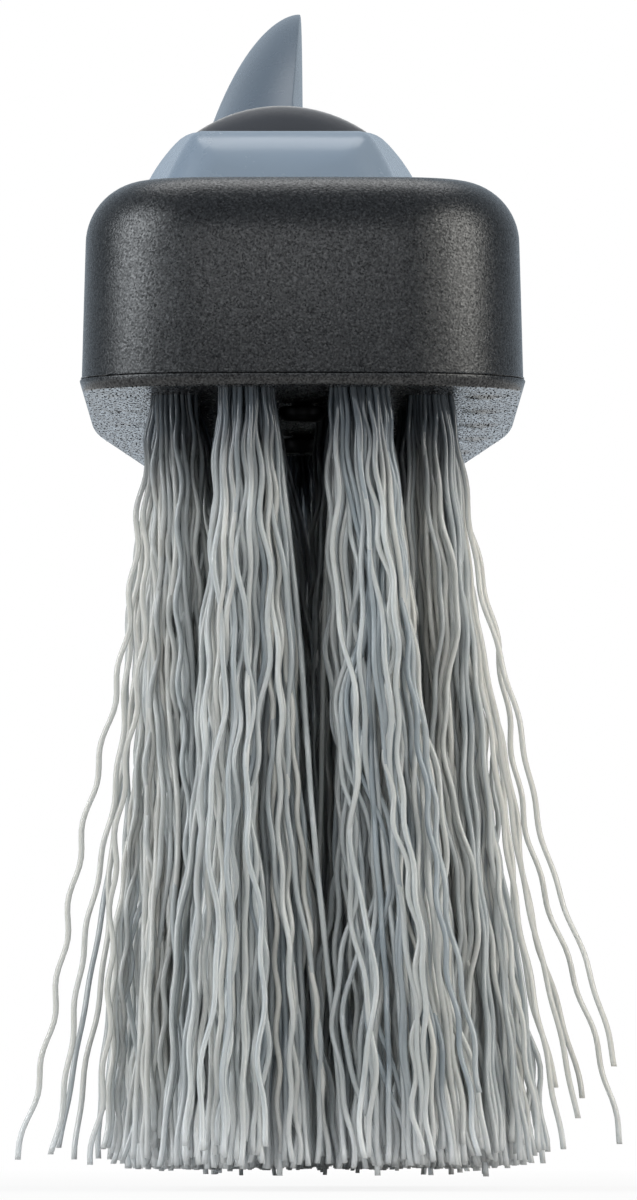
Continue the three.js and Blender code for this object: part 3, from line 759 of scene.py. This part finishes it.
def filament_paths(tuft, count, steps, rng):
    """Centre lines of one tuft as (filament, step, xyz). Neighbours run together in locks."""
    bundle = OUTER_BUNDLE if tuft["outer"] else INNER_BUNDLE
    place = packed_circle(count, bundle, rng) + rng.normal(0, 0.12, (count, 2))
    middles = packed_circle(max(count // LOCK_SIZE, 3), bundle, rng)
    lock = np.argmin(np.linalg.norm(place[:, None] - middles[None], axis=2), axis=1)
    locks = len(middles)
    run = tip_run(tuft, place, lock, rng)
    length = BRISTLE_LENGTH + 0.02 * tuft["row"] - np.abs(rng.normal(0, 1.2, count))
    length -= (rng.random(count) < 0.07) * rng.uniform(1, 6, count)
    length += (rng.random(count) < 0.05) * rng.uniform(0, 1.0, count)
    fall = np.sqrt(length**2 - np.sum(run**2, 1))
    lean = early_lean(tuft, lock, rng)
    bend_power = rng.uniform(0.9, 1.7, locks)[lock]
    edge = np.argsort(-np.sign(tuft["x"]) * place[:, 0])
    for index, (tip_x, tip_down) in zip(edge, tuft["strays"]):
        run[index, 0] = tip_x - tuft["x"] - 1.3 * place[index, 0]
        fall[index] = tip_down
        lean[index] = 0
        bend_power[index] = 1.4
    share = np.linspace(-ROOT_DEPTH / BRISTLE_LENGTH, 1, steps)
    down = np.clip(share, 0, 1)
    depth = down[None, :] * fall[:, None]

    bend = down[None, :] ** bend_power[:, None]
    splay = 0.3 * (1 - np.exp(-depth / 8))
    settle = 1 - np.exp(-depth / 11)
    path = np.empty((count, steps, 3))
    path[:, :, :2] = (tuft["x"], tuft["y"]) + place[:, None, :] * (1 + splay[:, :, None])
    path[:, :, :2] += run[:, None, :] * bend[:, :, None] + lean[:, None, :] * settle[:, :, None]
    path[:, :, 2] = -share[None, :] * fall[:, None]

    path[:, :, :2] += slow_sway(lock, locks, down, rng)
    path[:, :, :2] += crimp(lock, locks, depth, down, rng)
    tone = 0.55 * rng.random(locks)[lock] + 0.45 * rng.random(count)
    # Painted light: the outer tufts are made lighter, to make up for the shade that the plate's
    # margin and the inner tufts cast on them.
    if tuft["outer"]:
        tone = 0.3 + 0.7 * tone
    tone[edge[: len(tuft["strays"])]] = 1.0
    return path, tone


def tube_arrays(paths, sides):
    """Points, loop indices and loop starts of thin closed tubes along the paths."""
    count, steps = paths.shape[:2]
    angle = np.linspace(0, 2 * np.pi, sides, endpoint=False)
    circle = FILAMENT_RADIUS * np.stack([np.cos(angle), np.sin(angle), 0 * angle], 1)
    points = (paths[:, :, None, :] + circle).reshape(-1, 3)
    step, side = np.meshgrid(np.arange(steps - 1), np.arange(sides), indexing="ij")
    a = step * sides + side
    b = step * sides + (side + 1) % sides
    quads = np.stack([a, a + sides, b + sides, b], -1).reshape(-1)
    root = np.arange(sides)
    end = (steps - 1) * sides + np.arange(sides)[::-1]
    one = np.concatenate([quads, root, end])
    first = np.arange(count)[:, None] * steps * sides
    loops = (one[None, :] + first).reshape(-1)
    quad_count = (steps - 1) * sides
    starts = np.concatenate([np.arange(quad_count) * 4, quad_count * 4 + np.array([0, sides])])
    starts = (starts[None, :] + np.arange(count)[:, None] * len(one)).reshape(-1)
    return points, loops, starts


def bristle_piece(name, groups, tones, material, node):
    points, loops, starts = [], [], []
    shift, loop_shift = 0, 0
    for more_points, more_loops, more_starts in groups:
        points.append(more_points)
        loops.append(more_loops + shift)
        starts.append(more_starts + loop_shift)
        shift += len(more_points)
        loop_shift += len(more_loops)
    points, loops, starts = (np.concatenate(x) for x in (points, loops, starts))
    mesh = bpy.data.meshes.new(name)
    mesh.vertices.add(len(points))
    mesh.vertices.foreach_set("co", to_row(points).astype(np.float32).ravel())
    mesh.loops.add(len(loops))
    mesh.loops.foreach_set("vertex_index", loops.astype(np.int32))
    mesh.polygons.add(len(starts))
    mesh.polygons.foreach_set("loop_start", starts.astype(np.int32))
    mesh.update(calc_edges=True)
    mesh.validate()
    mesh.shade_smooth()
    tone = mesh.attributes.new("tone", "FLOAT", "POINT")
    tone.data.foreach_set("value", np.concatenate(tones).astype(np.float32))
    obj = bpy.data.objects.new(name, mesh)
    bpy.context.scene.collection.objects.link(obj)
    return dress(obj, material, "filament", node)


def bristles(material, tufts):
    """Every tuft. The ones near the toe and outside are the finest, as they show most."""
    rng = np.random.default_rng(20)
    for node in dict.fromkeys(tuft["node"] for tuft in tufts):
        rows = [tuft for tuft in tufts if tuft["node"] == node]
        splits = (0, NEAR_ROWS, 8, len(rows)) if rows[0]["outer"] else (0, NEAR_ROWS, len(rows))
        for number, (first, last) in enumerate(zip(splits, splits[1:])):
            groups, tones = [], []
            for tuft in rows[first:last]:
                rear = OUTER_DETAIL if tuft["outer"] else INNER_DETAIL
                count, steps, sides = NEAR_DETAIL if tuft["row"] < NEAR_ROWS else rear
                paths, tone = filament_paths(tuft, count, steps, rng)
                groups.append(tube_arrays(paths, sides))
                tones.append(np.repeat(tone, steps * sides))
            bristle_piece(f"{node}_{number + 1}", groups, tones, material, node)


# Neck, grip and scraper


def neck_size(y):
    t = (y - NECK_START) / (NECK_END - NECK_START)
    grown = smooth(t)
    half = NECK_HALF + (GRIP_RADIUS - NECK_HALF) * t
    middle = NECK_MIDDLE + (AXIS_Z - NECK_MIDDLE) * grown
    above = NECK_ABOVE + (GRIP_RADIUS - NECK_ABOVE) * grown
    below = NECK_BELOW + (GRIP_RADIUS - NECK_BELOW) * grown
    return half, middle, above, below


def neck_ring(y, drawn_in, lean):
    half, middle, above, below = neck_size(y)
    flat = FLAT_FRONT + (y - NECK_START - lean * BLOCK_HEIGHT) * FLAT_SLOPE
    flat /= 1 - lean * FLAT_SLOPE
    angle = np.linspace(0, 2 * np.pi, NECK_SIDES, endpoint=False)
    c, s = np.cos(angle), np.sin(angle)
    power = np.where(s > 0, 1, 2 / NECK_SQUARENESS)
    full = middle + np.where(s > 0, above, below) * signed_power(s, power)
    drawn = drawn_in * smooth((full - BLOCK_HEIGHT + 4) / 14)
    x = AXIS_X + (half - drawn) * signed_power(c, power)
    z = smooth_min(full, flat, 1.2) - drawn * np.maximum(s, 0)
    return np.stack([x, y + lean * np.maximum(z - BLOCK_HEIGHT, 0), z], 1)


def neck(material):
    rings = []
    for angle in np.linspace(0, np.pi / 2, 17):
        y = NECK_START + NOSE_RADIUS * (1 - np.cos(angle))
        rings.append(neck_ring(y, NOSE_RADIUS * (1 - np.sin(angle)), NOSE_LEAN))
    nose_end = NECK_START + NOSE_RADIUS
    for t in np.linspace(0.04, 1, 26):
        y = nose_end + (NECK_END - 0.4 - nose_end) * t
        rings.append(neck_ring(y, 0, NOSE_LEAN * (1 - t)))
    rings.append(neck_ring(NECK_END, 0.4, 0))
    skin = mesh_object("neck_skin", *loft(rings, start_middle=(AXIS_X, NECK_START, BLOCK_HEIGHT)))
    cutters = []
    for y in NECK_SCREWS:
        seat = neck_screw_seat(y)
        cutters.append(rod(SCREW_HEAD + GAP, (0, y, seat - 6), (0, y, seat)))
    cut(skin, *cutters, *pin_seats(NECK_PIN_Y))
    return dress(skin, material, "grey_plastic", "neck")


def neck_screw_seat(y):
    _, middle, _, below = neck_size(y)
    return middle - below + NECK_SCREW_DEPTH


def pin_seats(y):
    """Cutters for the two ends of a cross pin."""
    cutters = []
    for side in (-1, 1):
        face = AXIS_X + side * (GRIP_RADIUS - PIN_RECESS)
        cutters.append(rod(PIN_RADIUS + GAP, (face, y, AXIS_Z), (face + side * 5, y, AXIS_Z)))
    return cutters


def grip(material):
    start = NECK_END + GAP
    end = start + GRIP_LENGTH
    inner = TUBE_RADIUS + GAP
    pitch = (GRIP_LENGTH - 2 * GRIP_MARGIN) / GRIP_GROOVES
    profile = [(inner, start), (GRIP_RADIUS, start)]
    for i in range(GRIP_GROOVES):
        y = start + GRIP_MARGIN + pitch * (i + 0.5)
        bottom = (GRIP_RADIUS - GROOVE_DEPTH, y)
        profile += [(GRIP_RADIUS, y - GROOVE_HALF), bottom, (GRIP_RADIUS, y + GROOVE_HALF)]
    profile += [(GRIP_RADIUS, end), (inner, end)]
    front = rounded(profile[:3], GRIP_FRONT_RADIUS, 12)
    turned = front[:-1] + rounded(profile[1:], GROOVE_HALF, 8)[1:]
    rings = [ring + (AXIS_X, 0, AXIS_Z) for ring in lathe(turned, 112)]
    skin = mesh_object("grip_skin", *endless(rings))
    return dress(skin, material, "soft_grip", "grip")


def head_ring(t, drawn_in=0.0, along=0.0):
    grown = smooth(t)
    flattened = smooth((t - HEAD_FLAT_START) / HEAD_FLAT_RUN)
    tall = GRIP_RADIUS + (HEAD_LIP_TALL - GRIP_RADIUS) * grown - drawn_in
    left = GRIP_RADIUS + (HEAD_LIP_LEFT - GRIP_RADIUS) * grown - drawn_in
    right = GRIP_RADIUS + (HEAD_LIP_RIGHT - GRIP_RADIUS) * flattened
    right -= min(drawn_in, HEAD_LIP_RIGHT / 2)
    right_power = 1 + (HEAD_FLATNESS - 1) * flattened
    left_power = 1 + (HEAD_POINT - 1) * grown
    angle = np.linspace(0, 2 * np.pi, HEAD_SIDES, endpoint=False)
    c = np.cos(angle)
    x = np.where(c > 0, right * np.abs(c) ** right_power, left * signed_power(c, left_power))
    y = np.full(HEAD_SIDES, HEAD_START + HEAD_LENGTH * t + along)
    return np.stack([AXIS_X + HEAD_SHIFT * grown + x, y, AXIS_Z + tall * np.sin(angle)], 1)


def scraper_head(material):
    rings = [head_ring(0, 0.8), head_ring(0, 0.25, 0.25), head_ring(0, 0, 0.8)]
    rings += [head_ring(t) for t in np.linspace(0.04, 0.97, 44)]
    rings += [head_ring(1, 0.25, -0.4), head_ring(1, 0.9)]
    skin = mesh_object("scraper_head_skin", *loft(rings))
    cutters = [mesh_object("cutter", *blade_body(GAP))]
    for z in RIVET_Z:
        for side in (-1, 1):
            seat = rivet_middle() + side * rivet_reach()
            start, end = ((x, RIVET_Y, AXIS_Z + z) for x in (seat, seat + side * 20))
            cutters.append(rod(RIVET_HEAD + GAP, start, end))
    cut(skin, *cutters, *pin_seats(HEAD_PIN_Y))
    return dress(skin, material, "grey_plastic", "scraper_head")


def blade_half(t):
    return BLADE_ROOT_HALF + (BLADE_EDGE_HALF - BLADE_ROOT_HALF) * (1 - (1 - t) ** 2.1)


def blade_body(clearance):
    """The blade, grown by a clearance. The same body cuts its slot in the head."""
    rings = []
    flat_end = BLADE_REACH - BLADE_BEVEL
    round_start = BLADE_REACH - BLADE_CORNER
    flat = np.linspace(0, flat_end, 28)
    bevel = np.linspace(flat_end, round_start, 5)[1:]
    corners = round_start + BLADE_CORNER * np.sin(np.linspace(0, np.pi / 2, 9)[1:])
    for reach in np.r_[flat, bevel, corners]:
        left = BLADE_REACH - reach
        in_corner = max(BLADE_CORNER - left, 0)
        corner = BLADE_CORNER - math.sqrt(max(BLADE_CORNER**2 - in_corner**2, 0))
        half = blade_half(reach / BLADE_REACH) - corner + clearance
        bevelled = (BLADE_THICKNESS - BLADE_EDGE) * min(left / BLADE_BEVEL, 1)
        thick = BLADE_EDGE + bevelled + 2 * clearance
        right = AXIS_X + BLADE_OFFSET + BLADE_LEAN * reach + BLADE_THICKNESS / 2 + clearance
        y = HEAD_START + BLADE_INSET + reach - (clearance if reach == 0 else 0)
        soft = min(0.8, thick / 3)
        ring = []
        for across, up in ((1, -1), (1, 1), (-1, 1), (-1, -1)):
            turn = math.atan2(up, across)
            for angle in np.linspace(-np.pi / 4, np.pi / 4, 5):
                spin = turn + angle
                x = right - thick / 2 + across * (thick / 2 - soft) + soft * math.cos(spin)
                z = AXIS_Z + up * (half - soft) + soft * math.sin(spin)
                ring.append((x, y, z))
        rings.append(ring)
    return loft(rings)


def blade_rib(number):
    """One ice breaking rib on the left face, with a run-out at its root."""
    z = AXIS_Z + (number - (BLADE_RIBS - 1) / 2) * BLADE_RIB_PITCH
    end = BLADE_REACH - BLADE_BEVEL
    across = np.linspace(-1, 1, 11)
    rings = []
    for t in np.linspace(0, 1, 14):
        reach = end - BLADE_RIB_LENGTH * (1 - t)
        face = AXIS_X + BLADE_OFFSET + BLADE_LEAN * reach - BLADE_THICKNESS / 2
        tall = BLADE_RIB_HEIGHT * smooth(t / 0.35) * smooth((1.02 - t) / 0.06)
        profile = tall * np.maximum(1 - np.abs(across), 0) ** 0.8
        y = np.full(len(across), HEAD_START + BLADE_INSET + reach)
        outer = np.stack([face - profile, y, z + BLADE_RIB_HALF * across], 1)
        inner = [(face + 0.5, y[0], z + up * BLADE_RIB_HALF) for up in (1, -1)]
        rings.append(np.vstack([outer, inner]))
    return loft(rings)


def scraper_blade(material):
    parts = [blade_body(0)] + [blade_rib(i) for i in range(BLADE_RIBS)]
    skin = mesh_object("scraper_blade_skin", *joined(*parts))
    return dress(skin, material, "grey_plastic", "scraper_blade")


# Fasteners


def turned_piece(name, profile, turn, middle, soft, material, slot, node):
    points, faces = loft(lathe(rounded(profile, soft, 5)))
    placed = [np.array(turn @ Vector(p)) + middle for p in points]
    piece = mesh_object(name, placed, faces, 30)
    return dress(piece, material, slot, node)


def screws(zinc, black):
    upright = Matrix.Rotation(math.pi / 2, 3, "X")
    profile = [(0, SCREW_LENGTH), (SCREW_SHANK, SCREW_LENGTH - 2.2), (SCREW_SHANK, 0)]
    profile += [(SCREW_HEAD, 0), (SCREW_HEAD, -SCREW_HEAD_HEIGHT * 0.55)]
    profile += [(SCREW_HEAD * 0.75, -SCREW_HEAD_HEIGHT), (0, -SCREW_HEAD_HEIGHT)]
    seats = []
    for i, y in enumerate(PLATE_SCREWS):
        seats.append((f"plate_screw_{i + 1}", y, 0, black, "black_steel"))
    for i, y in enumerate(NECK_SCREWS):
        seats.append((f"neck_screw_{i + 1}", y, neck_screw_seat(y), zinc, "steel"))
    for node, y, seat, material, slot in seats:
        middle = np.array((0, y, seat - GAP))
        piece = turned_piece(f"{node}_skin", profile, upright, middle, 0.3, material, slot, node)
        floor = seat - GAP - SCREW_HEAD_HEIGHT
        for wide, deep in ((DRIVE_REACH, DRIVE_HALF), (DRIVE_HALF, DRIVE_REACH)):
            low = (-wide, y - deep, floor - 1)
            high = (wide, y + deep, floor + DRIVE_DEPTH)
            cut(piece, box_cutter(low, high))


def box_cutter(low, high):
    corners = [(low[0], low[1]), (high[0], low[1]), (high[0], high[1]), (low[0], high[1])]
    rings = [[(x, y, z) for x, y in corners] for z in (low[2], high[2])]
    return mesh_object("cutter", *loft(rings))


def pins(material):
    sideways = Matrix.Rotation(-math.pi / 2, 3, "Z")
    half = GRIP_RADIUS - 1
    profile = [(0, -half), (PIN_RADIUS, -half), (PIN_RADIUS, half), (0, half)]
    for node, y in (("neck_pin", NECK_PIN_Y), ("head_pin", HEAD_PIN_Y)):
        middle = np.array((AXIS_X, y, AXIS_Z))
        turned_piece(f"{node}_skin", profile, sideways, middle, 0.4, material, "steel", node)


def rivet_middle():
    return AXIS_X + (HEAD_SHIFT + HEAD_LIP_RIGHT + RIVET_LEFT_SEAT) / 2


def rivet_reach():
    return (HEAD_SHIFT + HEAD_LIP_RIGHT - RIVET_LEFT_SEAT) / 2


def rivets(material):
    sideways = Matrix.Rotation(-math.pi / 2, 3, "Z")
    seat = rivet_reach() + GAP
    head = seat + RIVET_HEAD_HEIGHT
    profile = [(RIVET_RADIUS, seat), (RIVET_HEAD, seat), (RIVET_HEAD, seat + 0.3)]
    profile += [(RIVET_HEAD * 0.62, head - 0.12), (0, head)]
    profile = [(radius, -x) for radius, x in reversed(profile)] + profile
    for i, z in enumerate(RIVET_Z):
        middle = np.array((rivet_middle(), RIVET_Y, AXIS_Z + z))
        node = f"blade_rivet_{i + 1}"
        turned_piece(f"{node}_skin", profile, sideways, middle, 0.5, material, "steel", node)


# Studio


def add_floor():
    """A pale floor just under the tips. The camera sees it white, apart from the shadow."""
    mesh = bpy.data.meshes.new("floor")
    z = float(to_row((0, 0, -BRISTLE_LENGTH))[2]) - FLOOR_DROP
    corners = ((-1, -1), (1, -1), (1, 1), (-1, 1))
    mesh.from_pydata([(FLOOR_SIZE * x, FLOOR_SIZE * y, z) for x, y in corners], [], [(0, 1, 2, 3)])
    floor = bpy.data.objects.new("floor", mesh)
    bpy.context.scene.collection.objects.link(floor)
    material, nodes, links, shader = new_material("floor")
    shader.inputs["Base Color"].default_value = (0.72, 0.72, 0.72, 1)
    shader.inputs["Roughness"].default_value = 0.9
    shader.inputs["Specular IOR Level"].default_value = 0.0
    glow = nodes.new("ShaderNodeEmission")
    path = nodes.new("ShaderNodeLightPath")
    place = nodes.new("ShaderNodeTexCoord")
    far = nodes.new("ShaderNodeVectorMath")
    far.operation = "LENGTH"
    links.new(place.outputs["Object"], far.inputs[0])
    split = nodes.new("ShaderNodeSeparateXYZ")
    links.new(place.outputs["Object"], split.inputs["Vector"])
    away, behind = far.outputs["Value"], split.outputs["Y"]
    rays = (
        ("Is Camera Ray", away, 0.88, 1.0),
        ("Is Transmission Ray", away, 0.9, 1.0),
        ("Is Glossy Ray", behind, 0.0, 0.9),
    )
    share = 0.0
    for kind, distance, near, beyond in rays:
        whiteness = add_range(nodes, links, distance, near, beyond, 0.2, 0.9)
        seen = add_math(nodes, links, "MULTIPLY", path.outputs[kind], whiteness)
        share = add_math(nodes, links, "MAXIMUM", share, seen)
    tint = add_mix(nodes, links, path.outputs["Is Glossy Ray"], (1, 1, 1), MIRRORED_TINT)
    links.new(tint, glow.inputs["Color"])
    mix = nodes.new("ShaderNodeMixShader")
    links.new(share, mix.inputs["Fac"])
    links.new(shader.outputs["BSDF"], mix.inputs[1])
    links.new(glow.outputs["Emission"], mix.inputs[2])
    links.new(mix.outputs["Shader"], nodes["Material Output"].inputs["Surface"])
    mesh.materials.append(material)


def add_world(ambient, front, behind):
    """White to the camera. Glossy faces mirror a cool white behind the brush and a dimmer front."""
    world = bpy.data.worlds.new("studio")
    bpy.context.scene.world = world
    world.use_nodes = True
    nodes, links = world.node_tree.nodes, world.node_tree.links
    place = nodes.new("ShaderNodeTexCoord")
    split = nodes.new("ShaderNodeSeparateXYZ")
    links.new(place.outputs["Generated"], split.inputs["Vector"])
    mirrored = add_range(nodes, links, split.outputs["Y"], front, behind, 0.6, 1.0)
    path = nodes.new("ShaderNodeLightPath")
    levels = (("Is Glossy Ray", mirrored), ("Is Transmission Ray", 1.0), ("Is Camera Ray", 1.0))
    strength = ambient
    for kind, level in levels:
        strength = add_mix(nodes, links, path.outputs[kind], strength, level, "FLOAT")
    links.new(strength, nodes["Background"].inputs["Strength"])
    tint = add_mix(nodes, links, path.outputs["Is Glossy Ray"], (1, 1, 1), MIRRORED_TINT)
    links.new(tint, nodes["Background"].inputs["Color"])


def add_softbox(name, place, aim, width, height, power, colour):
    data = bpy.data.lights.new(name, "AREA")
    data.shape = "RECTANGLE"
    data.size = width
    data.size_y = height
    data.energy = power
    data.color = colour
    lamp = bpy.data.objects.new(name, data)
    lamp.location = place
    lamp.rotation_euler = (Vector(aim) - Vector(place)).to_track_quat("-Z", "Y").to_euler()
    lamp.visible_camera = False
    bpy.context.scene.collection.objects.link(lamp)


def add_camera():
    """Looks along the brush from its toe, from just above the floor."""
    focal = PIXELS_PER_MM * CAMERA_DISTANCE
    data = bpy.data.cameras.new("camera")
    data.sensor_width = 36.0
    data.lens = 36.0 * focal / PHOTO_HEIGHT
    data.clip_start = 0.05
    data.clip_end = 100.0
    camera = bpy.data.objects.new("camera", data)
    camera.location = to_row((0, -CAMERA_DISTANCE, CAMERA_HEIGHT - BRISTLE_LENGTH))
    pitch = math.atan((HORIZON[1] - PHOTO_HEIGHT / 2) / focal)
    yaw = math.atan((HORIZON[0] - PHOTO_WIDTH / 2) / focal)
    camera.rotation_euler = (math.pi / 2 + pitch, 0, yaw)
    bpy.context.scene.collection.objects.link(camera)
    bpy.context.scene.camera = camera


def main():
    black = moulded_black("moulded_black", 5000, 0.27, (0.15, 0.95, 0.34, 0.66))
    underside = moulded_black("moulded_underside", 5200, 0.22, (0.0, 1.0, 0.42, 0.62), (1, 0.1, 1))
    grey = gloss_grey("gloss_grey", (0.185, 0.237, 0.303), (0.228, 0.287, 0.36))
    # Painted shade: the scraper head and blade get a darker copy of the neck's grey plastic.
    shaded_grey = gloss_grey("gloss_grey_painted_shade", (0.085, 0.112, 0.147), (0.107, 0.139, 0.179))
    zinc = bright_metal("zinc_steel", (0.5, 0.51, 0.53), 0.3, (1, 1, 1))
    oxide = bright_metal("black_oxide", (0.03, 0.031, 0.033), 0.4, (1, 1, 1))
    alloy = bright_metal("anodised_alloy", (0.46, 0.48, 0.51), 0.35, (1, 0.05, 1))
    tufts = all_tufts()
    block_cover(black)
    base_plate(underside, black, tufts)
    bristles(crimped_filament(), tufts)
    neck(grey)
    grip(soft_rubber())
    scraper_head(shaded_grey)
    scraper_blade(shaded_grey)
    screws(zinc, oxide)
    pins(zinc)
    rivets(zinc)
    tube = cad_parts["handle_tube"]
    tube.data.materials.clear()
    tube.data.materials.append(alloy)
    add_floor()
    add_world(0.32, 0.35, 0.7)
    add_softbox("left_box", (-1.27, -0.29, 0.6), (0, 0, 0), 0.9, 1.0, 13.5, COOL_LIGHT)
    add_softbox("right_box", (1.22, -0.44, 0.6), (0, 0, 0), 0.8, 1.0, 11, WARM_LIGHT)
    add_softbox("left_strip", (-1.0, -1.25, 0.6), (0, 0, 0), 0.06, 1.0, 2, COOL_LIGHT)
    add_softbox("right_strip", (1.0, -1.25, 0.6), (0, 0, 0), 0.06, 1.0, 2, WARM_LIGHT)
    add_softbox("fill_box", (-0.1, -1.7, 0.75), (0, 0, 0), 1.0, 0.4, 3, WHITE_LIGHT)
    add_softbox("top_box", (0.0, 0.6, 1.3), (0, 0.1, 0), 1.2, 0.8, 7, WHITE_LIGHT)
    add_camera()
    bpy.context.scene.view_settings.view_transform = "Standard"


main()
